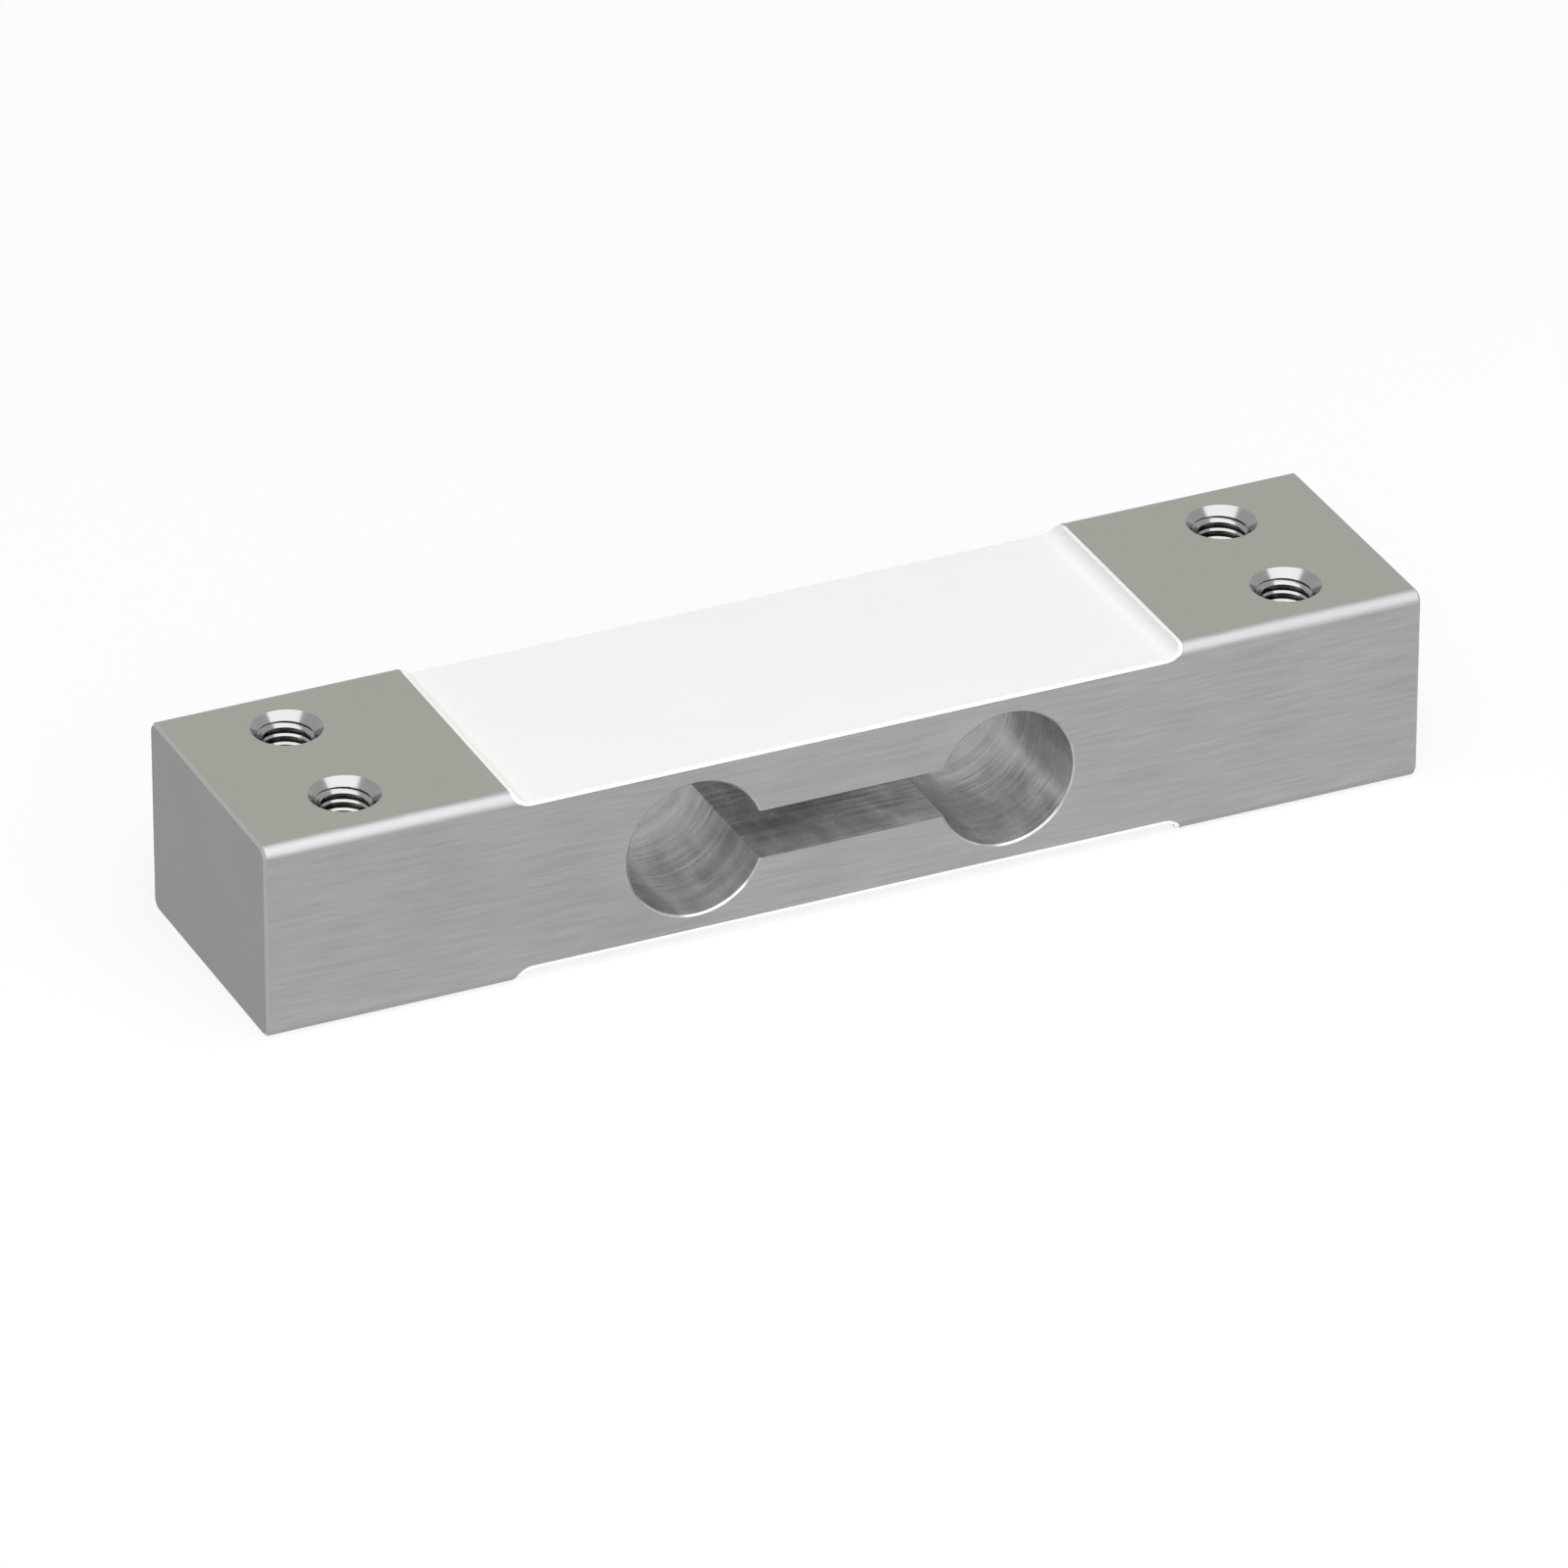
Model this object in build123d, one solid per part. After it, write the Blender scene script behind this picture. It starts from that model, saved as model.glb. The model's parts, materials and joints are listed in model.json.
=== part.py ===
from build123d import *
import os
from math import radians, sqrt, tan

# Single point load cell: a bending beam milled from one aluminium bar, with its strain gauge circuit in a
# recess on the top and the bottom face. Millimetres, X along the beam, Z up, origin under its middle.
# The load end is -X. The fixed end, with the cable inlet, is +X.

# Bar stock
beam_length = 130.0
beam_width = 30.0
beam_height = 22.0
bar_corner_radius = 1.3
end_chamfer = 0.3

# Recess milled straight across the top and the bottom, which leaves a pad at each end
pad_length = 27.2
recess_depth = 1.7
recess_end_radius = 2.0

# Binocular flexure: two cross bores joined by a slot, with a thin web over and under each bore
web_thickness = 1.7
bore_spacing = 35.0
slot_height = 5.5
rim_chamfer = 0.2

# Tapped M6 mounting holes, drilled through both pads and countersunk from both sides
hole_spacing_x = 106.0
hole_spacing_y = 15.0
tap_drill_diameter = 5.0
countersink_diameter = 7.5
countersink_angle = 90.0

# Cable inlet in the fixed end, and the upright wireway that joins it to both recesses
inlet_diameter = 5.5
inlet_mouth_chamfer = 0.4
drill_point_angle = 118.0
wireway_diameter = 4.0

# Silicone coat on the recess floor and the cover film on it
silicone_thickness = 0.35
film_thickness = 0.08
cover_setback = 0.1

# Foil gauges and foil resistors: folded strands with a solder tab at each end of the path
foil_thickness = 0.03
strand_width = 0.2
strand_gap = 0.2
loop_length = 0.3
neck_length = 0.5
tab_length = 1.6
tab_width = 1.2
carrier_thickness = 0.05
carrier_margin = 0.5
gauge_strand_length = 3.0
gauge_strand_count = 6
resistor_strand_length = 5.0
resistor_strand_count = 3

# Terminal board, a stiff film with rows of copper solder pads, counted outwards from the middle
board_length = 14.0
board_width = 11.0
board_thickness = 0.08
solder_pad_length = 1.4
solder_pad_width = 1.0
solder_pad_thickness = 0.03
solder_pad_pitch = 1.5
board_margin = 0.6
board_to_resistor = 1.1
gauge_row = 1
crossover_rows = (2, 3)
resistor_row = 3

# Flat copper ribbon leads and the solder that holds their ends
ribbon_width = 0.2
ribbon_thickness = 0.06
lead_straight = 2.0
lead_bow = 0.8
solder_length = 1.0
solder_width = 0.7
solder_cover = 0.03
solder_taper = 35.0
crossover_pitch = 0.5
crossover_edge_gap = 0.25
crossover_bend_radius = 0.5
crossover_lead_in = 1.0

# How far a cutting tool reaches past the face it opens
overcut = 1.0

# Worked out from the sizes above
half_length = beam_length / 2
half_width = beam_width / 2
mid_height = beam_height / 2
floor_height = beam_height - recess_depth
bore_radius = mid_height - recess_depth - web_thickness
bore_x = bore_spacing / 2
recess_half = half_length - pad_length
recess_rise = recess_end_radius - max(recess_end_radius - recess_depth, 0)
end_reach = sqrt(recess_end_radius**2 - (recess_end_radius - recess_rise) ** 2)
floor_half = recess_half - end_reach
wireway_radius = wireway_diameter / 2
wireway_x = (bore_x + bore_radius + floor_half) / 2
strand_pitch = strand_width + strand_gap
ribbon_base = max(board_thickness + solder_pad_thickness, carrier_thickness + foil_thickness)
solder_top = ribbon_base + ribbon_thickness + solder_cover
solder_pad_x = board_length / 2 - board_margin - solder_pad_length / 2
middle_plane = Plane.XY.offset(mid_height)
gauge_offset = (gauge_strand_count - 1) * strand_pitch / 2
resistor_offset = (resistor_strand_count - 1) * strand_pitch / 2
resistor_half_width = resistor_offset + tab_width / 2 + carrier_margin
resistor_y = board_width / 2 + board_to_resistor + resistor_half_width
gauge_tab_x = gauge_strand_length / 2 + neck_length + tab_length / 2
resistor_tab_x = resistor_strand_length / 2 + neck_length + tab_length / 2


def bar_section(setback=0.0):
    """Section of the drawn bar across X, with rounded corners, shrunk by a setback all round."""
    section = RectangleRounded(
        beam_width - 2 * setback,
        beam_height - 2 * setback,
        bar_corner_radius - setback,
    )
    return Plane.YZ * Pos(0, mid_height) * section


def recess_space(setback=0.0):
    """Space that the end mill clears over the top floor, with its round ends, shrunk by a setback."""
    half = floor_half + recess_end_radius - setback
    depth = recess_depth + recess_end_radius - setback
    outline = Rectangle(2 * half, depth)
    outline = fillet(outline.vertices().group_by(Axis.Y)[0], recess_end_radius - setback)
    outline = Plane.XZ * Pos(0, floor_height + setback + depth / 2) * outline
    return extrude(outline, amount=beam_width, both=True)


def cross_bore():
    """Bore across the beam, opened by a cone at the front and the back face."""
    reach = half_width + overcut
    flare = bore_radius + rim_chamfer + overcut
    profile = Polyline(
        (0, -reach),
        (flare, -reach),
        (bore_radius, rim_chamfer - half_width),
        (bore_radius, half_width - rim_chamfer),
        (flare, reach),
        (0, reach),
        close=True,
    )
    return revolve(make_face(profile), Axis.Y)


def mounting_hole():
    """Tap drill through the pad, opened by a cone at the top and the bottom face."""
    drill = tap_drill_diameter / 2
    slope = tan(radians(countersink_angle / 2))
    rim = countersink_diameter / 2
    sink = (rim - drill) / slope
    profile = Polyline(
        (0, -overcut),
        (rim + overcut * slope, -overcut),
        (drill, sink),
        (drill, beam_height - sink),
        (rim + overcut * slope, beam_height + overcut),
        (0, beam_height + overcut),
        close=True,
    )
    return revolve(Plane.XZ * make_face(profile), Axis.Z)


def cable_inlet():
    """Blind drilling from the fixed end to the wireway, with a chamfered mouth and a drill point."""
    radius = inlet_diameter / 2
    tip = radius / tan(radians(drill_point_angle / 2))
    profile = Polyline(
        (half_length + overcut, 0),
        (half_length + overcut, radius + inlet_mouth_chamfer + overcut),
        (half_length - inlet_mouth_chamfer, radius),
        (wireway_x, radius),
        (wireway_x - tip, 0),
        close=True,
    )
    return Pos(0, 0, mid_height) * revolve(make_face(profile), Axis.X)


def make_beam_body():
    """The bar, with its ends chamfered, recessed, bored, slotted and drilled."""
    body = extrude(bar_section(), amount=half_length, both=True)
    ends = body.faces().sort_by(Axis.X)
    body = chamfer(ends[0].edges() + ends[-1].edges(), end_chamfer)
    body -= recess_space()
    body -= mirror(recess_space(), about=middle_plane)
    for x in (-bore_x, bore_x):
        body -= Pos(x, 0, mid_height) * cross_bore()
    body -= Pos(0, 0, mid_height) * Box(bore_spacing, beam_width + overcut, slot_height)
    for x in (-hole_spacing_x / 2, hole_spacing_x / 2):
        for y in (-hole_spacing_y / 2, hole_spacing_y / 2):
            body -= Pos(x, y) * mounting_hole()
    body -= cable_inlet()
    body -= Pos(wireway_x, 0, mid_height) * Cylinder(wireway_radius, beam_height)
    return body


def sheet(outline, height, thickness):
    """A flat sheet with this outline, at a height over the top recess floor."""
    return extrude(Pos(0, 0, floor_height + height) * outline, amount=thickness)


def lining(inner, outer):
    """A layer that follows the top recess, from one distance off its floor and ends to another."""
    return (recess_space(inner) - recess_space(outer)) & extrude(
        bar_section(cover_setback), amount=half_length, both=True
    )


def foil_outline(strand_length, strand_count):
    """Parallel strands joined in turn at alternate ends, with a tab on the first and the last.

    An even count has both tabs at -X, and an odd count has the last one at +X.
    """
    outline = Sketch()
    offset = (strand_count - 1) * strand_pitch / 2
    for i in range(strand_count):
        y = i * strand_pitch - offset
        outline += Pos(0, y) * Rectangle(strand_length, strand_width)
        if i + 1 < strand_count:
            end = 1 if i % 2 == 0 else -1
            x = end * (strand_length + loop_length) / 2
            outline += Pos(x, y + strand_pitch / 2) * Rectangle(
                loop_length, strand_pitch + strand_width
            )
    last_end = -1 if strand_count % 2 == 0 else 1
    for end, y in ((-1, -offset), (last_end, offset)):
        neck = Rectangle(neck_length, strand_width)
        outline += Pos(end * (strand_length + neck_length) / 2, y) * neck
        x = end * ((strand_length + tab_length) / 2 + neck_length)
        outline += Pos(x, y) * Rectangle(tab_length, tab_width)
    return outline


def foil_piece(outline, place):
    """Carrier film and foil for one outline, as two solids on the recess floor."""
    box = outline.bounding_box()
    carrier = Rectangle(box.size.X + 2 * carrier_margin, box.size.Y + 2 * carrier_margin)
    carrier = Pos(box.center().X, box.center().Y) * carrier
    return (
        sheet(place * carrier, 0, carrier_thickness),
        sheet(place * outline, carrier_thickness, foil_thickness),
    )


def flat_ribbon(*points):
    """A ribbon that lies flat on the solder pads, folded at each point between its two ends."""
    border = Polyline(*points).offset_2d(ribbon_width / 2, kind=Kind.INTERSECTION)
    corners = [edge @ 0 for edge in border.order_edges()]
    outline = make_face(Polyline(*corners, close=True))
    return sheet(outline, ribbon_base, ribbon_thickness)


def solder_joint(x, y, base_height):
    """A tapered pillow of solder, from the surface it wets to just over the ribbon in it."""
    outline = Pos(x, y, floor_height + base_height) * Rectangle(solder_length, solder_width)
    return extrude(outline, amount=solder_top - base_height, taper=solder_taper)


def gauge_lead(end, side):
    """Ribbon from a gauge tab to the board, with a sideways bow that takes up strain."""
    tab_x = bore_x - gauge_tab_x
    tab_y = side * gauge_offset
    pad_y = side * gauge_row * solder_pad_pitch
    return flat_ribbon(
        (end * tab_x, tab_y),
        (end * (tab_x - lead_straight), tab_y),
        (end * (tab_x + solder_pad_x) / 2, pad_y + side * lead_bow),
        (end * (solder_pad_x + lead_straight), pad_y),
        (end * solder_pad_x, pad_y),
    )


def resistor_lead(end, side):
    """Straight ribbon from a resistor tab across to the board."""
    tab_y = side * resistor_y + end * resistor_offset
    pad_y = side * resistor_row * solder_pad_pitch
    outline = Rectangle(ribbon_width, abs(tab_y - pad_y))
    outline = Pos(end * resistor_tab_x, (tab_y + pad_y) / 2) * outline
    return sheet(outline, ribbon_base, ribbon_thickness)


def lane_offset(row):
    """Distance across from the middle of the wireway to the crossover ribbon of one pad row."""
    return (row - crossover_rows[0] + 0.5) * crossover_pitch


def crossover_lead(side, row):
    """Ribbon from the top board past the fixed end gauge, down the wireway and back to the bottom board."""
    pad_y = side * row * solder_pad_pitch
    hole_y = side * lane_offset(row)
    edge_x = wireway_x - sqrt(wireway_radius**2 - lane_offset(crossover_rows[-1]) ** 2)
    drop_x = edge_x + crossover_edge_gap + crossover_bend_radius
    turn_x = bore_x + gauge_strand_length / 2 + loop_length + carrier_margin + crossover_lead_in
    meet_x = wireway_x - wireway_radius - crossover_lead_in
    flat = flat_ribbon(
        (solder_pad_x, pad_y), (turn_x, pad_y), (meet_x, hole_y), (edge_x, hole_y)
    )
    level = floor_height - mid_height + ribbon_base + ribbon_thickness / 2
    drop = FilletPolyline(
        (edge_x, level),
        (drop_x, level),
        (drop_x, -level),
        (edge_x, -level),
        radius=crossover_bend_radius,
    )
    strap = Plane.XZ * trace(drop, line_width=ribbon_thickness)
    strap = extrude(strap, amount=ribbon_width / 2, both=True)
    return flat + Pos(0, hole_y, mid_height) * strap + mirror(flat, about=middle_plane)


def solder_spots(with_resistors):
    """Middle of each solder joint with the height of the surface under it."""
    on_board = board_thickness + solder_pad_thickness
    on_foil = carrier_thickness + foil_thickness
    spots = []
    for side in (-1, 1):
        for end in (-1, 1):
            spots.append((end * solder_pad_x, side * gauge_row * solder_pad_pitch, on_board))
            spots.append((end * (bore_x - gauge_tab_x), side * gauge_offset, on_foil))
            if with_resistors:
                x = end * resistor_tab_x
                spots.append((x, side * resistor_row * solder_pad_pitch, on_board))
                spots.append((x, side * resistor_y + end * resistor_offset, on_foil))
        for row in crossover_rows:
            spots.append((solder_pad_x, side * row * solder_pad_pitch, on_board))
    return spots


def solder_pad_outline():
    """All copper pads of one board: a column of pads at each end and a resistor pad at each corner."""
    pad = Rectangle(solder_pad_length, solder_pad_width)
    outline = Sketch()
    for side in (-1, 1):
        outline += Pos(-solder_pad_x, side * gauge_row * solder_pad_pitch) * pad
        for row in (gauge_row, *crossover_rows):
            outline += Pos(solder_pad_x, side * row * solder_pad_pitch) * pad
        for end in (-1, 1):
            y = side * resistor_row * solder_pad_pitch
            outline += Pos(end * resistor_tab_x, y) * pad
    return outline


nodes = {"beam_body": make_beam_body()}

# Gauges, one over each bore on the top and one under it on the bottom
gauge_outline = foil_outline(gauge_strand_length, gauge_strand_count)
for end_name, place in (
    ("fixed_end", Pos(bore_x, 0)),
    ("load_end", Pos(-bore_x, 0) * Rot(0, 0, 180)),
):
    carrier, foil = foil_piece(gauge_outline, place)
    nodes[f"gauge_carrier_top_{end_name}"] = carrier
    nodes[f"gauge_carrier_bottom_{end_name}"] = mirror(carrier, about=middle_plane)
    nodes[f"gauge_grid_top_{end_name}"] = foil
    nodes[f"gauge_grid_bottom_{end_name}"] = mirror(foil, about=middle_plane)

# Leads of each gauge, as a pair of ribbons
for end_name, end in (("fixed_end", 1), ("load_end", -1)):
    pair = Compound(children=[gauge_lead(end, side) for side in (-1, 1)])
    nodes[f"gauge_leads_top_{end_name}"] = pair
    nodes[f"gauge_leads_bottom_{end_name}"] = mirror(pair, about=middle_plane)

# Terminal boards and their copper pads
board = sheet(Rectangle(board_length, board_width), 0, board_thickness)
solder_pads = sheet(solder_pad_outline(), board_thickness, solder_pad_thickness)
nodes["terminal_board_top"] = board
nodes["terminal_board_bottom"] = mirror(board, about=middle_plane)
nodes["solder_pads_top"] = solder_pads
nodes["solder_pads_bottom"] = mirror(solder_pads, about=middle_plane)

# Span resistors on the top circuit
resistor_outline = foil_outline(resistor_strand_length, resistor_strand_count)
for side_name, side in (("front", -1), ("back", 1)):
    carrier, foil = foil_piece(resistor_outline, Pos(0, side * resistor_y))
    nodes[f"span_resistor_carrier_{side_name}"] = carrier
    nodes[f"span_resistor_foil_{side_name}"] = foil
nodes["resistor_leads"] = Compound(
    children=[resistor_lead(end, side) for end in (-1, 1) for side in (-1, 1)]
)

# Leads that join the two boards
nodes["crossover_leads"] = Compound(
    children=[crossover_lead(side, row) for side in (-1, 1) for row in crossover_rows]
)

# Solder joints, each closed round the ribbon end in it
leads = [shape for name, shape in nodes.items() if "leads" in name]
nodes["solder_joints_top"] = Compound(
    children=[solder_joint(*spot) - leads for spot in solder_spots(True)]
)
nodes["solder_joints_bottom"] = Compound(
    children=[
        mirror(solder_joint(*spot), about=middle_plane) - leads for spot in solder_spots(False)
    ]
)

# Silicone coats, which fill the recess floors round all of the above, and the cover films on them
circuit = [shape for name, shape in nodes.items() if name != "beam_body"]
coat = lining(0, silicone_thickness)
film = lining(silicone_thickness, silicone_thickness + film_thickness)
nodes["silicone_coat_top"] = coat - circuit
nodes["silicone_coat_bottom"] = mirror(coat, about=middle_plane) - circuit
nodes["cover_film_top"] = film
nodes["cover_film_bottom"] = mirror(film, about=middle_plane)

os.makedirs("parts", exist_ok=True)
for name, shape in nodes.items():
    shape.label = name
    export_step(shape, f"parts/{name}.step")
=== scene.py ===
import json
import math

import bmesh
import bpy
import numpy as np
from mathutils import Matrix, Vector


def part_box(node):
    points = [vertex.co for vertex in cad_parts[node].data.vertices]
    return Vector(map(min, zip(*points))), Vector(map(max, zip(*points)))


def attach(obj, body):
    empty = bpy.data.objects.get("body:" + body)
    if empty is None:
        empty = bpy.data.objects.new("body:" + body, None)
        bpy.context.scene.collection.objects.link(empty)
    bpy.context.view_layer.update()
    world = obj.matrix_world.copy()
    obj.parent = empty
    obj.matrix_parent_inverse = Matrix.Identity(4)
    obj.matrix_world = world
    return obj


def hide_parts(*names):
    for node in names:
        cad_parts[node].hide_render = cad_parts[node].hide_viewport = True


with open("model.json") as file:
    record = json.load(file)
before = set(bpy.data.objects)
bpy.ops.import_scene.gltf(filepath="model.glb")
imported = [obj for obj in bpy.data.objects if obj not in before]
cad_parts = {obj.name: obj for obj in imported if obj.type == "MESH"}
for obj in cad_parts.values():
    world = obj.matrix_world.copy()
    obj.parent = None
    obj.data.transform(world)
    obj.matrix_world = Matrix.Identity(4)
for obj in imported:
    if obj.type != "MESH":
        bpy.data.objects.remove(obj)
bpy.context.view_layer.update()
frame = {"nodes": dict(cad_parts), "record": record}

# Beam body
# One length of drawn aluminium alloy bar. Its pads, recesses and ends are milled, the flexure is bored and
# slotted through its side, and the four holes are drilled, countersunk and tapped M6 right through.

MM = 0.001

beam_low, beam_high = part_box("beam_body")
half_length = beam_high.x
half_width = beam_high.y
beam_height = beam_high.z
mid_height = beam_height / 2
end_chamfer = 0.3 * MM
bar_corner_radius = 1.3 * MM

inlet_bore = next(mount for mount in frame["record"]["mounts"] if mount["name"] == "cable_inlet")
inlet_mouth_chamfer = 0.4 * MM
inlet_mouth_radius = inlet_bore["dims"]["r_mm"] * MM + inlet_mouth_chamfer
wireway_x = inlet_bore["pos_m"][0] - inlet_bore["dims"]["length_mm"] * MM
wireway_radius = 2.0 * MM

flexure_radius = 7.6 * MM
flexure_spacing = 35.0 * MM
slot_height = 5.5 * MM
rim_chamfer = 0.2 * MM
flexure_steps = 160
tool_overrun = 0.5 * MM

thread_pitch = 1.0 * MM
thread_root_radius = 3.0 * MM
thread_crest_radius = 2.5 * MM
thread_root_flat = thread_pitch / 8
thread_crest_wear = (0.22 * MM, 0.20 * MM)
thread_flank_angle = math.radians(30)
thread_start = -1.81 * MM
thread_steps = 72
countersink_radius = 3.75 * MM
wall_clean_up = 0.02 * MM
rim_band = 0.5 * MM

join_distance = 0.0005 * MM
plane_tolerance = 0.001 * MM
flat_tolerance = 0.01 * MM
round_sharp_angle = math.radians(28)
thread_sharp_angle = math.radians(11)

drawn_colour = (0.352, 0.355, 0.364)
milled_colour = (0.324, 0.323, 0.292)
# The ends' colour is darker than the sawn metal's own, with painted shade in it.
end_colour_and_shade = (0.275, 0.275, 0.275)
chamfer_colour = (0.39, 0.39, 0.38)
bored_colour = (0.45, 0.452, 0.44)
# The tapped holes' colour is darker than the metal's own, with painted shade in it.
tapped_colour_and_shade = (0.27, 0.275, 0.27)
wiped_share = 0.25


class Signal:
    """An output socket of a shader node. Arithmetic on it, with numbers or signals, adds Math nodes."""

    def __init__(self, tree, socket=None):
        self.tree = tree
        self.socket = socket

    def node(self, kind, settings, sockets, output=0):
        """The output of a new node of this kind, after its settings and then its sockets are set."""
        made = self.tree.nodes.new(kind)
        for name, value in settings.items():
            setattr(made, name, value)
        for name, value in sockets.items():
            if isinstance(value, Signal):
                self.tree.links.new(value.socket, made.inputs[name])
            else:
                made.inputs[name].default_value = value
        return Signal(self.tree, made.outputs[output] if made.outputs else None)

    def calculate(self, operation, *values):
        """The result of a Math node on these values."""
        return self.node("ShaderNodeMath", {"operation": operation}, dict(enumerate(values)))

    def __add__(self, other):
        return self.calculate("ADD", self, other)

    def __radd__(self, other):
        return self.calculate("ADD", other, self)

    def __sub__(self, other):
        return self.calculate("SUBTRACT", self, other)

    def __rsub__(self, other):
        return self.calculate("SUBTRACT", other, self)

    def __mul__(self, other):
        return self.calculate("MULTIPLY", self, other)

    def __rmul__(self, other):
        return self.calculate("MULTIPLY", other, self)

    def marks(self, per_mm, detail=3.0):
        """Noise from 0 to 1 over these coordinates, with this many marks per millimetre along X, Y and Z."""
        scale = tuple(count / MM for count in per_mm)
        place = self.node("ShaderNodeVectorMath", {"operation": "MULTIPLY"}, {0: self, 1: scale})
        return self.node("ShaderNodeTexNoise", {}, {"Vector": place, "Scale": 1.0, "Detail": detail})

    def tint(self, dark, light):
        """A colour between two, by this signal from 0 to 1."""
        sockets = {0: self, 6: (*dark, 1.0), 7: (*light, 1.0)}
        return self.node("ShaderNodeMix", {"data_type": "RGBA"}, sockets, output=2)


def new_finish(name, metallic, roughness):
    """A material, its Principled node, and the object coordinates in it as a signal."""
    material = bpy.data.materials.new(name)
    material.use_nodes = True
    shader = material.node_tree.nodes["Principled BSDF"]
    shader.inputs["Metallic"].default_value = metallic
    shader.inputs["Roughness"].default_value = roughness
    place = Signal(material.node_tree).node("ShaderNodeTexCoord", {}, {}, "Object")
    return material, shader, place


def feed(shader, name, signal):
    """Links a signal to one of the Principled node's sockets."""
    signal.tree.links.new(signal.socket, shader.inputs[name])


def shaded(colour, factor):
    """The colour, made lighter or darker by a factor."""
    return tuple(channel * factor for channel in colour)


def raised(height, depth):
    """Surface normals of a relief, whose signal from 0 to 1 stands this high."""
    return height.node("ShaderNodeBump", {}, {"Strength": 1.0, "Distance": depth, "Height": height})


def aluminium(name, colour, roughness, per_mm, contrast, depth):
    """Bare aluminium with one tool's marks: fine noise, drawn out along the tool's travel.

    The marks change the colour and the roughness by the contrast, and stand up by the depth. Larger, soft
    patches change both a little more, as on metal that has been wiped and handled.
    """
    material, shader, place = new_finish(name, 1.0, roughness)
    cut = place.marks(per_mm)
    wiped = place.marks((0.12, 0.12, 0.12), 2.0)
    tone = cut * (1 - wiped_share) + wiped * wiped_share
    feed(shader, "Base Color", tone.tint(shaded(colour, 1 - contrast), shaded(colour, 1 + contrast)))
    feed(shader, "Roughness", roughness + (cut - 0.5) * contrast + (wiped - 0.5) * 0.12)
    feed(shader, "Normal", raised(cut, depth))
    return material


beam_finishes = [
    aluminium("drawn_aluminium", drawn_colour, 0.50, (0.18, 3.5, 3.5), 0.22, 0.002 * MM),
    aluminium("milled_aluminium", milled_colour, 0.48, (0.4, 6.0, 6.0), 0.06, 0.002 * MM),
    # The sawn ends' colour is darkened by painted shade.
    aluminium("sawn_aluminium", end_colour_and_shade, 0.50, (5.0, 5.0, 5.0), 0.05, 0.002 * MM),
    # The holes, countersinks, inlet and wireway are darkened by painted shade.
    aluminium("tapped_aluminium", tapped_colour_and_shade, 0.18, (4.0, 4.0, 12.0), 0.08, 0.001 * MM),
    aluminium("chamfered_aluminium", chamfer_colour, 0.50, (5.0, 5.0, 5.0), 0.05, 0.002 * MM),
]


def bored_aluminium():
    """Walls of the bores and the slot: the cutter's rings at every depth, and dull and bright patches."""
    material, shader, place = new_finish("bored_aluminium", 0.6, 0.4)
    rings = place.marks((0.08, 1.3, 0.08), 3.0)
    patches = place.marks((0.5, 0.25, 0.5), 4.0)
    shade = rings * 0.4 + patches * 0.6
    feed(shader, "Base Color", shade.tint(shaded(bored_colour, 0.2), shaded(bored_colour, 1.8)))
    feed(shader, "Roughness", 0.12 + patches * 0.25)
    feed(shader, "Normal", raised(rings, 0.06 * MM))
    return material


bored_finish = bored_aluminium()


def join_points(mesh):
    """Joins points of a mesh that lie on one another."""
    joined = bmesh.new()
    joined.from_mesh(mesh)
    bmesh.ops.remove_doubles(joined, verts=joined.verts, dist=join_distance)
    joined.to_mesh(mesh)
    joined.free()


def new_piece(name, mesh, slot, *nodes):
    """An object for this mesh that rides on the beam and stands for these CAD nodes; the slot is not used."""
    piece = bpy.data.objects.new(name, mesh)
    bpy.context.collection.objects.link(piece)
    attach(piece, "root")
    if nodes:
        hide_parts(*nodes)
    return piece


def hole_centres():
    """Places of the tapped holes across the beam, from the two bolt patterns in the record."""
    centres = []
    for mount in frame["record"]["mounts"]:
        if mount["kind"] == "bolt_pattern":
            x, y, _ = mount["pos_m"]
            step = mount["dims"]["spacing_y_mm"] * MM / 2
            centres += [(x, y - step), (x, y + step)]
    return centres


def read_rows(collection, name, width=3):
    """One property of every item in a mesh's collection, as rows of an array."""
    values = np.empty(len(collection) * width)
    collection.foreach_get(name, values)
    return values.reshape(-1, width)


def whole_numbers(collection, name):
    """One property, a whole number, of every item in a mesh's collection."""
    return read_rows(collection, name, 1)[:, 0].astype(int)


def from_hole(place):
    """Place of each point as seen from the axis of the nearest tapped hole: across, along and up."""
    steps = place[:, None, :2] - np.array(hole_centres())
    nearest = np.argmin(np.hypot(steps[..., 0], steps[..., 1]), axis=1)
    return steps[np.arange(len(place)), nearest]


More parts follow.
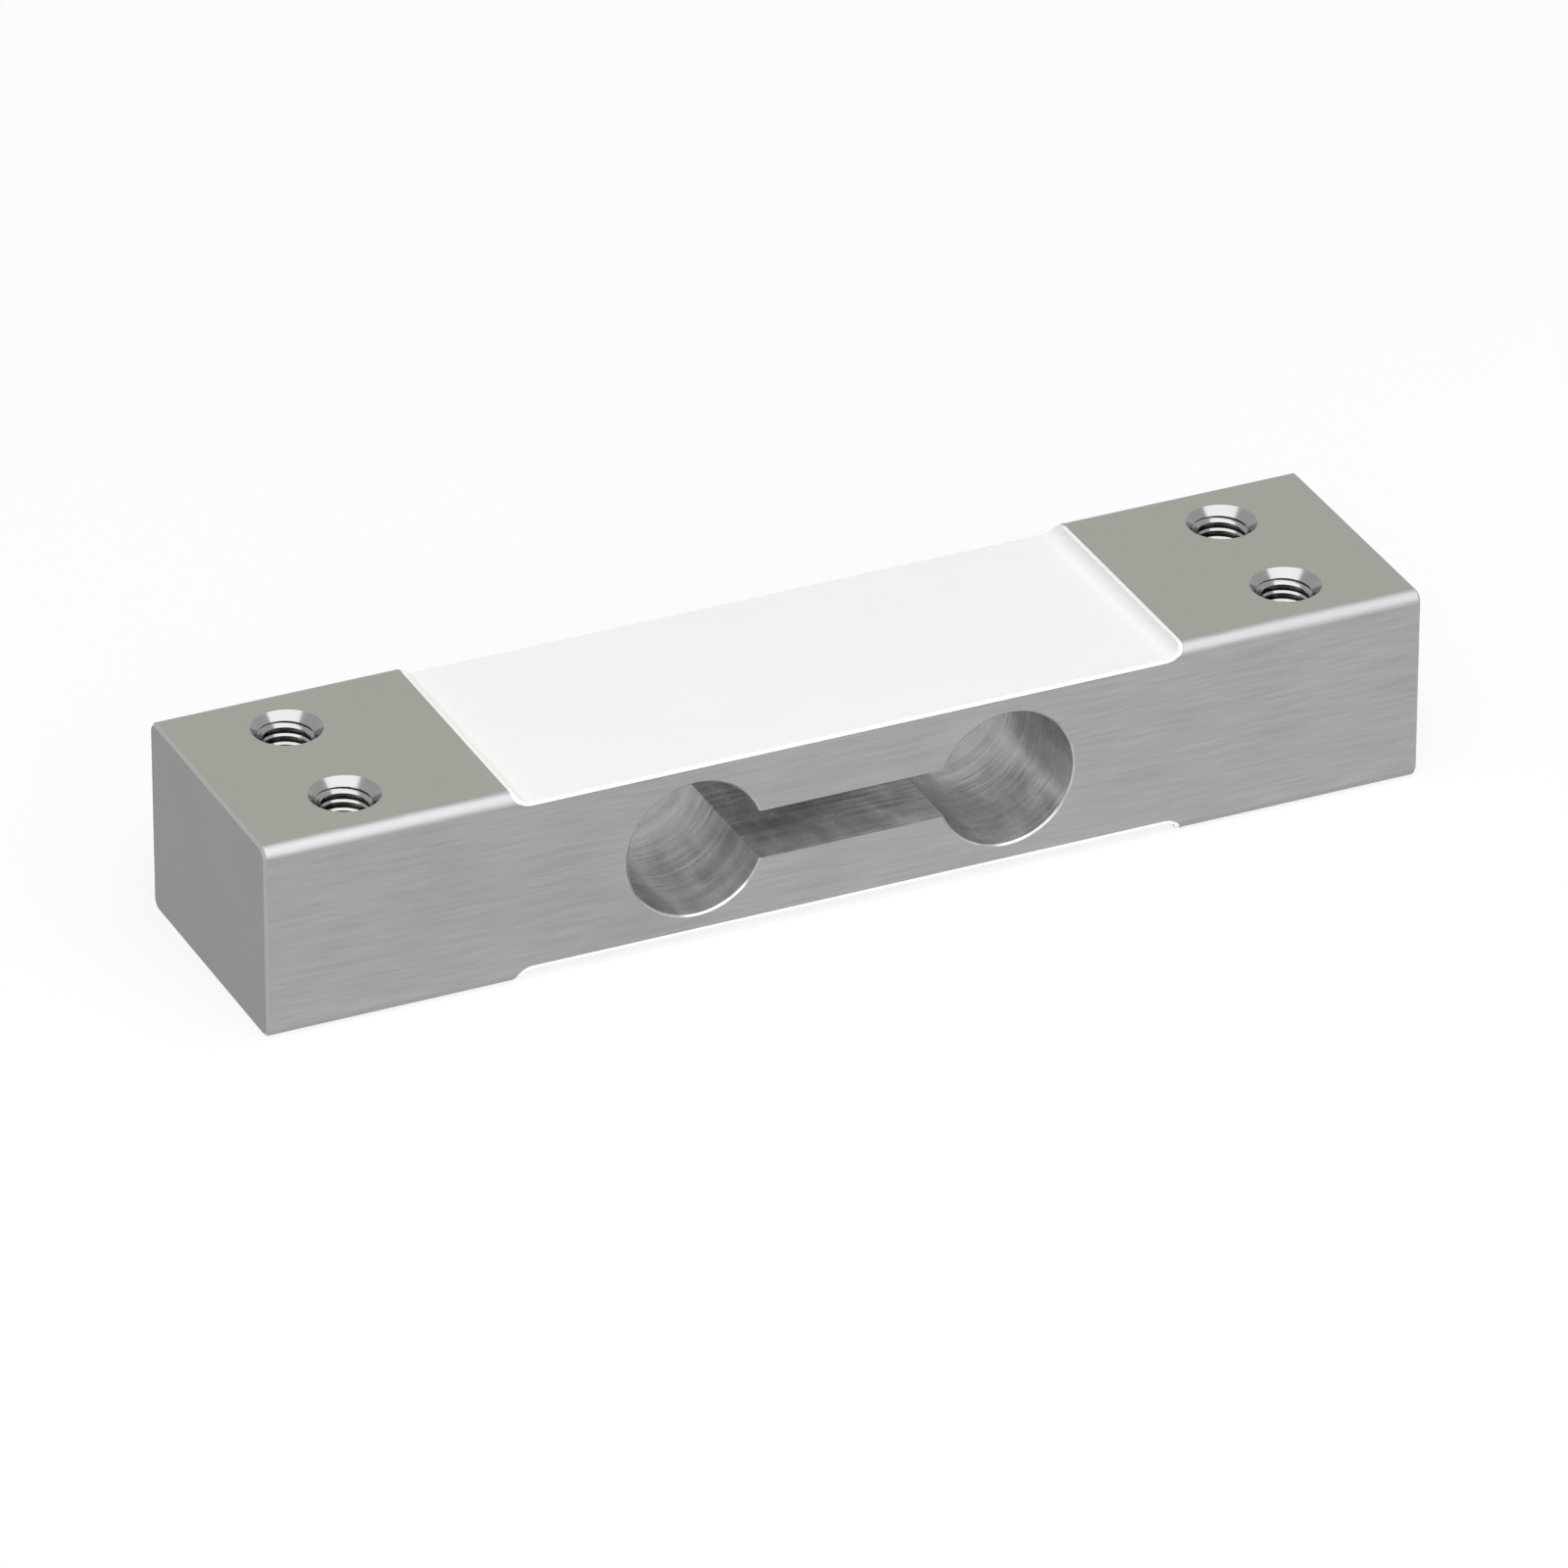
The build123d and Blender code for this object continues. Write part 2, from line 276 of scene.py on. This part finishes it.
def face_finishes(mesh):
    """Index of the finish of each face of the bar: drawn, milled, sawn, tapped or chamfered.

    The drawn sides are what the rest leaves. Milled faces look up or down and not sideways. Sawn faces lie at
    the ends, where those that lean are the chamfers. A face belongs to a hole within a countersink's radius
    of its axis, or within the inlet or the wireway.
    """
    centre = read_rows(mesh.polygons, "center")
    facing = np.abs(read_rows(mesh.polygons, "normal"))
    x, y, z = centre.T
    on_pad = (z > beam_height - flat_tolerance) | (z < flat_tolerance)
    milled = (facing[:, 2] > 0.1) & (facing[:, 1] < 0.1)
    at_end = np.abs(x) > half_length - end_chamfer - flat_tolerance
    leaning = facing[:, 0] < 0.9
    holed = np.hypot(*from_hole(centre).T) < countersink_radius
    inlet = (x > wireway_x - wireway_radius) & (np.hypot(y, z - mid_height) < inlet_mouth_radius)
    wireway = (np.hypot(x - wireway_x, y) < wireway_radius + flat_tolerance) & (facing[:, 2] < 0.5)
    finish = np.zeros(len(centre), np.int32)
    finish[milled] = 1
    finish[at_end] = 2
    finish[at_end & leaning] = 4
    finish[(holed & ~on_pad) | inlet | wireway] = 3
    return finish


def apply_modifiers(piece):
    """Makes the mesh that the modifiers show the piece's own."""
    after = piece.evaluated_get(bpy.context.evaluated_depsgraph_get())
    mesh = bpy.data.meshes.new_from_object(after)
    piece.modifiers.clear()
    piece.data = mesh


def cut_away(piece, cutter):
    """Takes a cutter's solid out of the piece and removes the cutter."""
    cut = piece.modifiers.new("cut", "BOOLEAN")
    cut.object = cutter
    cut.operation = "DIFFERENCE"
    cut.solver = "EXACT"
    cut.material_mode = "TRANSFER"
    apply_modifiers(piece)
    bpy.data.objects.remove(cutter)


def cutter_object(name, points, faces, finish):
    """A closed solid for cutting, whose faces carry the finish that they leave."""
    mesh = bpy.data.meshes.new(name)
    mesh.from_pydata(points.tolist(), [], faces)
    mesh.materials.append(finish)
    cutter = bpy.data.objects.new(name, mesh)
    bpy.context.collection.objects.link(cutter)
    return cutter


def flexure_cutter():
    """Two cylinders across the beam, which flare by 45 degrees at their rims, and the slot between them.

    The outline at a flare f is an arc of radius R + f round each bore, from the point where the slot's wall
    at the height h meets it, at the angle asin(h / (R + f)) from the line between the bores.
    """
    across = np.array([
        -half_width - tool_overrun,
        -half_width + rim_chamfer,
        half_width - rim_chamfer,
        half_width + tool_overrun,
    ])
    flare = np.maximum(np.abs(across) - half_width + rim_chamfer, 0)
    radius = flexure_radius + wall_clean_up + flare[:, None]
    start = np.arcsin((slot_height / 2 + wall_clean_up) / radius)
    turn = start + (2 * math.pi - 2 * start) * np.linspace(0, 1, flexure_steps + 1)
    left_x = -flexure_spacing / 2 + radius * np.cos(turn)
    left_z = radius * np.sin(turn)
    x = np.concatenate([left_x, -left_x], axis=1)
    z = np.concatenate([left_z, -left_z], axis=1) + mid_height
    y = np.broadcast_to(across[:, None], x.shape)
    points = np.stack([x, y, z], axis=-1).reshape(-1, 3)
    around = x.shape[1]
    step = np.arange(around)
    after = (step + 1) % around
    faces = []
    for row in range(len(across) - 1):
        low, high = row * around, (row + 1) * around
        faces += np.stack([high + step, high + after, low + after, low + step], axis=1).tolist()
    faces.append(step.tolist())
    faces.append((step + (len(across) - 1) * around)[::-1].tolist())
    return cutter_object("flexure_cutter", points, faces, bored_finish)


def tapped_space(centre, turns, start):
    """Closed solid that the drill, both countersinks and the tap clear, as a strip that winds up the hole.

    Over one turn the thread's profile goes from the root down its steep underside to the crest, over the flat
    crest, round its worn upper edge and up the flank back to the root. A countersink has the radius R less
    the depth under its own face. Each side of the profile gets one more point where the countersink's cone
    crosses it, and the larger of the two radii counts. Points near a face of the beam are moved on along the
    cone by a pitch, so that the face cuts no narrow slivers.
    """
    steep = math.tan(thread_flank_angle)
    worn_radius, worn_height = thread_crest_wear
    underside = (thread_root_radius - thread_crest_radius) * steep
    flank = (thread_root_radius - thread_crest_radius - worn_radius) * steep
    crest = thread_pitch - underside - worn_height - flank - thread_root_flat
    rise = np.cumsum([0, crest, worn_height, flank, thread_root_flat, underside])
    radius = np.full(6, thread_root_radius)
    radius[[0, 1, 5]] = thread_crest_radius
    radius[2] = thread_crest_radius + worn_radius
    slope = np.diff(radius) / np.diff(rise)

    column = np.arange(turns * thread_steps + 1)
    corner = start + thread_pitch * (column / thread_steps)[:, None] + rise
    low = corner[:, :-1]
    leaning = np.where(low > mid_height, 1.0, -1.0)
    sunk = countersink_radius - np.minimum(low, beam_height - low)
    crossing = low + np.clip((sunk - radius[:-1]) / (slope - leaning), 0, np.diff(rise))
    threaded = np.stack([radius[:-1] + 0 * low, radius[:-1] + slope * (crossing - low)], axis=-1)
    z = np.stack([low, crossing], axis=-1).reshape(len(column), -1)
    z = z + np.where(z > beam_height - rim_band, thread_pitch, 0) - np.where(z < rim_band, thread_pitch, 0)
    wall = np.maximum(threaded.reshape(z.shape), countersink_radius - np.minimum(z, beam_height - z))
    wall = wall + wall_clean_up
    angle = 2 * math.pi * column[:, None] / thread_steps
    points = np.stack([centre[0] + np.cos(angle) * wall, centre[1] + np.sin(angle) * wall, z], axis=-1)
    points = points.reshape(-1, 3)

    rows = z.shape[1]
    last = len(column) - 1
    i = rows * np.arange(last)
    faces = []
    for j in range(rows - 1):
        faces += np.stack([i + j, i + rows + j, i + rows + j + 1, i + j + 1], axis=1).tolist()
    i = rows * np.arange(last - thread_steps)
    above = i + rows * thread_steps
    faces += np.stack([i + rows - 1, i + 2 * rows - 1, above + rows, above], axis=1).tolist()

    bottom = (rows * np.arange(thread_steps + 1)).tolist() + list(range(rows - 1, 0, -1))
    top = (rows * np.arange(last, last - thread_steps - 1, -1) + rows - 1).tolist()
    top += list(range(rows * last, rows * last + rows - 1))
    for ring, height in ((bottom, z.min() - thread_pitch / 2), (top, z.max() + thread_pitch / 2)):
        tip = len(points)
        points = np.vstack([points, [centre[0], centre[1], height]])
        faces += [(tip, ring[(k + 1) % len(ring)], ring[k]) for k in range(len(ring))]
    return points, faces


def tapping_cutter():
    """The four tapped holes as one solid, each from below the beam to above it."""
    turns = round(beam_height / thread_pitch) + 3
    every_point = []
    every_face = []
    base = 0
    for centre in hole_centres():
        points, faces = tapped_space(centre, turns, thread_start)
        every_point.append(points)
        every_face += [[corner + base for corner in face] for face in faces]
        base += len(points)
    cutter = cutter_object("tapping_cutter", np.vstack(every_point), every_face, beam_finishes[3])
    join_points(cutter.data)
    return cutter


def smooth_rounds(piece, sharp_angle):
    """Smooth shading over rounds, with edges over the angle kept sharp and the large faces kept flat."""
    piece.data.shade_smooth()
    piece.data.set_sharp_from_angle(angle=sharp_angle)
    weighted = piece.modifiers.new("weighted_normals", "WEIGHTED_NORMAL")
    weighted.keep_sharp = True


def sharpen(mesh, coarse_angle, fine_angle):
    """Marks edges that bend by more than the coarse angle, or in the tapped holes the fine one, as sharp.

    The mesh is closed, so with its corners in the order of their edges, each edge has the next two.
    """
    sizes = whole_numbers(mesh.polygons, "loop_total")
    facing = np.repeat(read_rows(mesh.polygons, "normal"), sizes, axis=0)
    beside = np.argsort(whole_numbers(mesh.loops, "edge_index"), kind="stable").reshape(-1, 2)
    bend = np.arccos(np.clip((facing[beside[:, 0]] * facing[beside[:, 1]]).sum(axis=1), -1, 1))
    ends = read_rows(mesh.edges, "vertices", 2).astype(int)
    middle = read_rows(mesh.vertices, "co")[ends].mean(axis=1)
    holed = np.hypot(*from_hole(middle).T) < countersink_radius
    sharp = bend > np.where(holed, fine_angle, coarse_angle)
    mesh.attributes["sharp_edge"].data.foreach_set("value", sharp)


def true_normals(piece):
    """Gives the outer flats, the rounded edges and the countersinks exact normals, and keeps all others.

    The cuts leave thin slivers at the countersinks' rims, whose own normals are rough. A face counts where
    all its corners lie on an outer plane of the bar, on the round of a long edge, whose normals point away
    from the round's centre line, or on a countersink's cone, which leans 45 degrees inward.
    """
    apply_modifiers(piece)
    mesh = piece.data
    normals = read_rows(mesh.corner_normals, "vector")
    corners = read_rows(mesh.vertices, "co")[whole_numbers(mesh.loops, "vertex_index")]
    first = whole_numbers(mesh.polygons, "loop_start")
    sizes = whole_numbers(mesh.polygons, "loop_total")
    x, y, z = corners.T
    upward = np.sign(z - mid_height)
    depth = np.minimum(z, beam_height - z)

    across = from_hole(corners)
    reach = np.hypot(*across.T)
    on_cone = np.abs(reach + depth - countersink_radius - wall_clean_up) < flat_tolerance
    cone = np.column_stack([-across / reach[:, None], upward]) * math.sqrt(0.5)

    round_y = np.abs(y) - half_width + bar_corner_radius
    round_z = bar_corner_radius - depth
    on_round = np.abs(np.hypot(round_y, round_z) - bar_corner_radius) < flat_tolerance
    on_round &= np.minimum(round_y, round_z) > -flat_tolerance
    rounded = np.column_stack([0 * x, np.sign(y) * round_y, upward * round_z]) / bar_corner_radius

    for on_surface, formula in ((on_cone, cone), (on_round, rounded)):
        whole = np.repeat(np.logical_and.reduceat(on_surface, first), sizes)
        normals = np.where(whole[:, None], formula, normals)
    for side, limit in ((-1, beam_low), (1, beam_high)):
        on_plane = np.logical_and.reduceat(np.abs(corners - limit) < plane_tolerance, first)
        on_plane = np.repeat(on_plane, sizes, axis=0)
        normals = np.where(on_plane.any(axis=1)[:, None], side * on_plane, normals)
    mesh.normals_split_custom_set(normals.tolist())


beam_mesh = frame["nodes"]["beam_body"].data.copy()
beam_mesh.name = "beam_body_tapped"
join_points(beam_mesh)
beam_mesh.materials.clear()
for finish in beam_finishes:
    beam_mesh.materials.append(finish)
beam_mesh.polygons.foreach_set("material_index", face_finishes(beam_mesh))
beam = new_piece("beam_body_tapped", beam_mesh, "aluminium", "beam_body")
cut_away(beam, flexure_cutter())
cut_away(beam, tapping_cutter())
smooth_rounds(beam, round_sharp_angle)
sharpen(beam.data, round_sharp_angle, thread_sharp_angle)
true_normals(beam)

# Strain gauges
# Each gauge is a folded constantan foil on an amber polyimide carrier, glued to the milled floor over or
# under a bore, where the web bends.

carrier_colour = (0.50, 0.26, 0.05)
constantan_colour = (0.58, 0.50, 0.40)


def dress(node, finish):
    """Gives a CAD node this finish."""
    for slot in frame["nodes"][node].material_slots:
        slot.material = finish


def carrier_film():
    """Amber polyimide, clouded a little by the glue under it."""
    material, shader, place = new_finish("carrier_film", 0.0, 0.35)
    cloud = place.marks((1.2, 1.2, 1.2))
    feed(shader, "Base Color", cloud.tint(shaded(carrier_colour, 0.8), shaded(carrier_colour, 1.15)))
    feed(shader, "Roughness", 0.28 + cloud * 0.15)
    feed(shader, "Normal", raised(cloud, 0.004 * MM))
    return material


def rolled_foil(name, colour):
    """Thin rolled metal with fine lines along the beam."""
    material, shader, place = new_finish(name, 1.0, 0.35)
    rolling = place.marks((0.8, 12.0, 12.0))
    feed(shader, "Base Color", rolling.tint(shaded(colour, 0.88), shaded(colour, 1.1)))
    feed(shader, "Roughness", 0.26 + rolling * 0.2)
    feed(shader, "Normal", raised(rolling, 0.001 * MM))
    return material


carrier_finish = carrier_film()
constantan_finish = rolled_foil("constantan_foil", constantan_colour)
for face in ("top", "bottom"):
    for end in ("fixed_end", "load_end"):
        dress(f"gauge_carrier_{face}_{end}", carrier_finish)
        dress(f"gauge_grid_{face}_{end}", constantan_finish)

# Terminal boards
# A thin glass fibre laminate glued in the middle of each recess, with rows of bare copper solder pads.

laminate_colour = (0.34, 0.38, 0.14)
copper_colour = (0.75, 0.36, 0.22)


def glass_laminate():
    """Yellow-green laminate, in which the glass cloth's crossed threads show faintly."""
    material, shader, place = new_finish("glass_laminate", 0.0, 0.4)
    weave = place.marks((0.5, 4.0, 1.0)) * place.marks((4.0, 0.5, 1.0)) * 2.0
    feed(shader, "Base Color", weave.tint(shaded(laminate_colour, 0.8), shaded(laminate_colour, 1.2)))
    feed(shader, "Roughness", 0.34 + weave * 0.15)
    feed(shader, "Normal", raised(weave, 0.003 * MM))
    return material


laminate_finish = glass_laminate()
copper_finish = rolled_foil("bare_copper", copper_colour)
for face in ("top", "bottom"):
    dress(f"terminal_board_{face}", laminate_finish)
    dress(f"solder_pads_{face}", copper_finish)

# Span resistors
# Two folded nickel foils on polyimide carriers beside the top board, which trim the span over temperature.

nickel_colour = (0.58, 0.56, 0.52)

nickel_finish = rolled_foil("nickel_foil", nickel_colour)
for side in ("front", "back"):
    dress(f"span_resistor_carrier_{side}", carrier_finish)
    dress(f"span_resistor_foil_{side}", nickel_finish)

# Leads
# Flat copper ribbons: a bowed pair from each gauge to its board, short ones from the resistors, and four
# that run down the wireway from the top board to the bottom board.

for face in ("top", "bottom"):
    for end in ("fixed_end", "load_end"):
        dress(f"gauge_leads_{face}_{end}", copper_finish)
dress("resistor_leads", copper_finish)
dress("crossover_leads", copper_finish)

# Solder joints
# Small pillows of tin solder over the ribbon ends, on the copper pads and the foil tabs.

solder_colour = (0.66, 0.67, 0.68)


def tin_solder():
    """Tin solder, bright with a slightly frosted skin."""
    material, shader, place = new_finish("tin_solder", 1.0, 0.25)
    frost = place.marks((6.0, 6.0, 6.0))
    feed(shader, "Base Color", frost.tint(shaded(solder_colour, 0.85), shaded(solder_colour, 1.1)))
    feed(shader, "Roughness", 0.15 + frost * 0.25)
    feed(shader, "Normal", raised(frost, 0.004 * MM))
    return material


solder_finish = tin_solder()
dress("solder_joints_top", solder_finish)
dress("solder_joints_bottom", solder_finish)

# Silicone coats
# White silicone poured over the circuit in each recess and wiped level, with edges that climb the rounded
# ends of the recess.

silicone_colour = (0.84, 0.84, 0.825)


def white_silicone():
    """White silicone rubber with soft shallow waves from the wiping."""
    material, shader, place = new_finish("white_silicone", 0.0, 0.45)
    wave = place.marks((0.5, 0.5, 0.5), 2.0)
    feed(shader, "Base Color", wave.tint(shaded(silicone_colour, 0.97), shaded(silicone_colour, 1.02)))
    feed(shader, "Roughness", 0.4 + wave * 0.12)
    feed(shader, "Normal", raised(wave, 0.01 * MM))
    return material


silicone_finish = white_silicone()
dress("silicone_coat_top", silicone_finish)
dress("silicone_coat_bottom", silicone_finish)

# Cover films
# A white vinyl film over each silicone coat. It runs up the rounded ends of the recess and folds over the
# silicone's end to the pad, and its long edges are pressed down over the sides of the silicone.

coat_low, coat_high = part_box("silicone_coat_top")
recess_end_radius = 2.0 * MM
film_thickness = 0.05 * MM
film_edge_gap = 0.04 * MM
film_floor_gap = 0.02 * MM
film_edge_round = 0.15 * MM
film_edge_steps = 6
film_end_steps = 16
film_end_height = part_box("cover_film_top")[1].z
film_lip_rise = 0.07 * MM
film_sharp_angle = math.radians(40)
cover_thickness = 0.43 * MM
film_colour = (0.88, 0.872, 0.856)


def white_vinyl():
    """White vinyl film with a fine matte grain and faint waves where it lies on the silicone."""
    material, shader, place = new_finish("white_vinyl", 0.0, 0.5)
    grain = place.marks((6.0, 6.0, 6.0))
    wave = place.marks((0.12, 0.2, 0.2), 2.0)
    feed(shader, "Base Color", wave.tint(shaded(film_colour, 0.985), shaded(film_colour, 1.01)))
    feed(shader, "Roughness", 0.45 + grain * 0.1)
    feed(shader, "Normal", raised(grain * 0.15 + wave, 0.012 * MM))
    return material


def film_surface():
    """The film's outer face: a strip's section, carried along the recess from end to end.

    Along the recess the path is flat, then rises on an arc about the recess end's own centre, with a radius
    less by the cover's thickness, and bends over to a flat lip that ends at the silicone's end. The half
    width follows the bar's rounded corner above its start. Across the section the points run up one side,
    round its edge by a quarter circle, over the flat and down the other side. Depth is measured against the
    path's normal.
    """
    floor = coat_low.z
    centre_z = floor + recess_end_radius
    coat_end = math.sqrt(recess_end_radius**2 - (centre_z - coat_high.z) ** 2)
    floor_half = coat_high.x - coat_end
    arc_radius = recess_end_radius - cover_thickness
    last_turn = math.acos((centre_z - film_end_height) / arc_radius)
    turn = np.linspace(0, last_turn, film_end_steps)
    bend = np.linspace(last_turn, 0, film_edge_steps)
    bend_x = floor_half + arc_radius * math.sin(last_turn) + film_lip_rise * (1 - np.sin(bend))
    bend_z = film_end_height + film_lip_rise * np.cos(bend)
    rise_x = np.concatenate([floor_half + arc_radius * np.sin(turn), bend_x, [coat_high.x]])
    rise_z = np.concatenate([centre_z - arc_radius * np.cos(turn), bend_z, bend_z[-1:]])
    rise_lean = np.concatenate([turn, bend, [0]])
    path_x = np.concatenate([-rise_x[::-1], rise_x])
    path_z = np.concatenate([rise_z[::-1], rise_z])
    lean = np.concatenate([rise_lean[::-1], -rise_lean])

    corner_z = beam_height - bar_corner_radius
    corner_y = half_width - bar_corner_radius
    inset = bar_corner_radius - film_edge_gap
    above = np.clip(path_z - corner_z, 0, inset)
    half = corner_y + np.sqrt(inset**2 - above**2)

    quarter = np.linspace(0, math.pi / 2, film_edge_steps + 1)
    edge_in = film_edge_round * (1 - np.cos(quarter))
    edge_deep = film_edge_round * (1 - np.sin(quarter))
    skirt = cover_thickness - film_floor_gap
    inward = np.concatenate([[0], edge_in])
    deep = np.concatenate([[skirt], edge_deep])

    left = -half[:, None] + inward
    y = np.concatenate([left, -left[:, ::-1]], axis=1)
    depth = np.concatenate([deep, deep[::-1]])
    x = path_x[:, None] - np.sin(lean)[:, None] * depth
    z = path_z[:, None] - np.cos(lean)[:, None] * depth
    return np.stack([x, y, z], axis=-1)


def strip_mesh(name, grid, flipped):
    """A mesh of four-sided faces over a grid of points."""
    rows, columns = grid.shape[:2]
    corner = np.arange(rows * columns).reshape(rows, columns)
    quads = [corner[:-1, :-1], corner[1:, :-1], corner[1:, 1:], corner[:-1, 1:]]
    if flipped:
        quads.reverse()
    faces = np.stack(quads, axis=-1).reshape(-1, 4)
    mesh = bpy.data.meshes.new(name)
    mesh.from_pydata(grid.reshape(-1, 3).tolist(), [], faces.tolist())
    return mesh


film_finish = white_vinyl()
for face in ("top", "bottom"):
    grid = film_surface()
    if face == "bottom":
        grid[..., 2] = beam_height - grid[..., 2]
    film_mesh = strip_mesh(f"cover_film_{face}_laid", grid, face == "bottom")
    film_mesh.materials.append(film_finish)
    film = new_piece(f"cover_film_{face}_laid", film_mesh, "white_film", f"cover_film_{face}")
    thick = film.modifiers.new("thickness", "SOLIDIFY")
    thick.thickness = film_thickness
    thick.offset = -1.0
    smooth_rounds(film, film_sharp_angle)

# Floor, light and camera
# A white studio floor and surround, with one wide softbox that leans over the beam from the front, seen
# through a long lens from the load end, the front and above.

floor_size = 8.0
floor_colour = (0.97, 0.97, 0.97)
floor_glow = 0.8
ambient = 0.15
softbox_size = (1.5, 2.18)
softbox_centre = (-0.145, -0.671, 0.724)
softbox_tilt = math.radians(31.7)
softbox_radiance = 2.1

view_target = Vector((0, 0, mid_height))
view_azimuth = math.radians(-24.73)
view_elevation = math.radians(29.44)
view_roll = math.radians(0.08)
view_distance = 1.4
aim_right = -0.7126 * MM
aim_up = -3.651 * MM
lens = 311.8
sensor = 36.0


def seen_rays(tree):
    """One for rays from the camera and for mirrored and transmitted ones, zero for diffuse ones."""
    start = Signal(tree)
    camera = start.node("ShaderNodeLightPath", {}, {}, "Is Camera Ray")
    glossy = start.node("ShaderNodeLightPath", {}, {}, "Is Glossy Ray")
    clear = start.node("ShaderNodeLightPath", {}, {}, "Is Transmission Ray")
    return start.calculate("MAXIMUM", start.calculate("MAXIMUM", camera, glossy), clear)


def studio_floor():
    """Pale paper that glows a little towards the camera, so that it looks white and keeps a soft shadow."""
    material = bpy.data.materials.new("studio_floor")
    material.use_nodes = True
    tree = material.node_tree
    tree.nodes.clear()
    start = Signal(tree)
    paper = start.node("ShaderNodeBsdfDiffuse", {}, {"Color": (*floor_colour, 1.0)})
    glow = start.node("ShaderNodeEmission", {}, {"Strength": 1.0})
    lit = start.node("ShaderNodeMixShader", {}, {0: seen_rays(tree) * floor_glow, 1: paper, 2: glow})
    start.node("ShaderNodeOutputMaterial", {}, {"Surface": lit})
    return material


def studio_world():
    """A surround that is white to the camera and in the metal, and lights the beam at the ambient level."""
    world = bpy.data.worlds.new("studio_world")
    world.use_nodes = True
    tree = world.node_tree
    tree.nodes.clear()
    start = Signal(tree)
    strength = ambient + seen_rays(tree) * (1 - ambient)
    sky = start.node("ShaderNodeBackground", {}, {"Color": (1.0, 1.0, 1.0, 1.0), "Strength": strength})
    start.node("ShaderNodeOutputWorld", {}, {"Surface": sky})
    return world


scene = bpy.context.scene
scene.view_settings.view_transform = "Standard"
scene.world = studio_world()

floor_mesh = bpy.data.meshes.new("floor")
reach = floor_size / 2
floor_mesh.from_pydata(
    [(-reach, -reach, 0), (reach, -reach, 0), (reach, reach, 0), (-reach, reach, 0)], [], [(0, 1, 2, 3)]
)
floor_mesh.materials.append(studio_floor())
floor = bpy.data.objects.new("floor", floor_mesh)
bpy.context.collection.objects.link(floor)

light = bpy.data.lights.new("softbox", "AREA")
light.shape = "RECTANGLE"
light.size, light.size_y = softbox_size
light.energy = softbox_radiance * math.pi * softbox_size[0] * softbox_size[1]
softbox = bpy.data.objects.new("softbox", light)
softbox.location = softbox_centre
softbox.rotation_euler = (softbox_tilt, 0, 0)
softbox.visible_camera = False
bpy.context.collection.objects.link(softbox)

back = Vector((
    math.sin(view_azimuth) * math.cos(view_elevation),
    -math.cos(view_azimuth) * math.cos(view_elevation),
    math.sin(view_elevation),
))
right = Vector((math.cos(view_azimuth), math.sin(view_azimuth), 0))
top = back.cross(right)
camera_data = bpy.data.cameras.new("camera")
camera_data.lens = lens
camera_data.sensor_width = sensor
camera_data.clip_start = 0.05
camera_data.clip_end = 50.0
camera = bpy.data.objects.new("camera", camera_data)
camera.location = view_target + back * view_distance + right * aim_right + top * aim_up
tilted_top = top * math.cos(view_roll) - right * math.sin(view_roll)
camera.rotation_euler = Matrix((tilted_top.cross(back), tilted_top, back)).transposed().to_euler()
bpy.context.collection.objects.link(camera)
scene.camera = camera
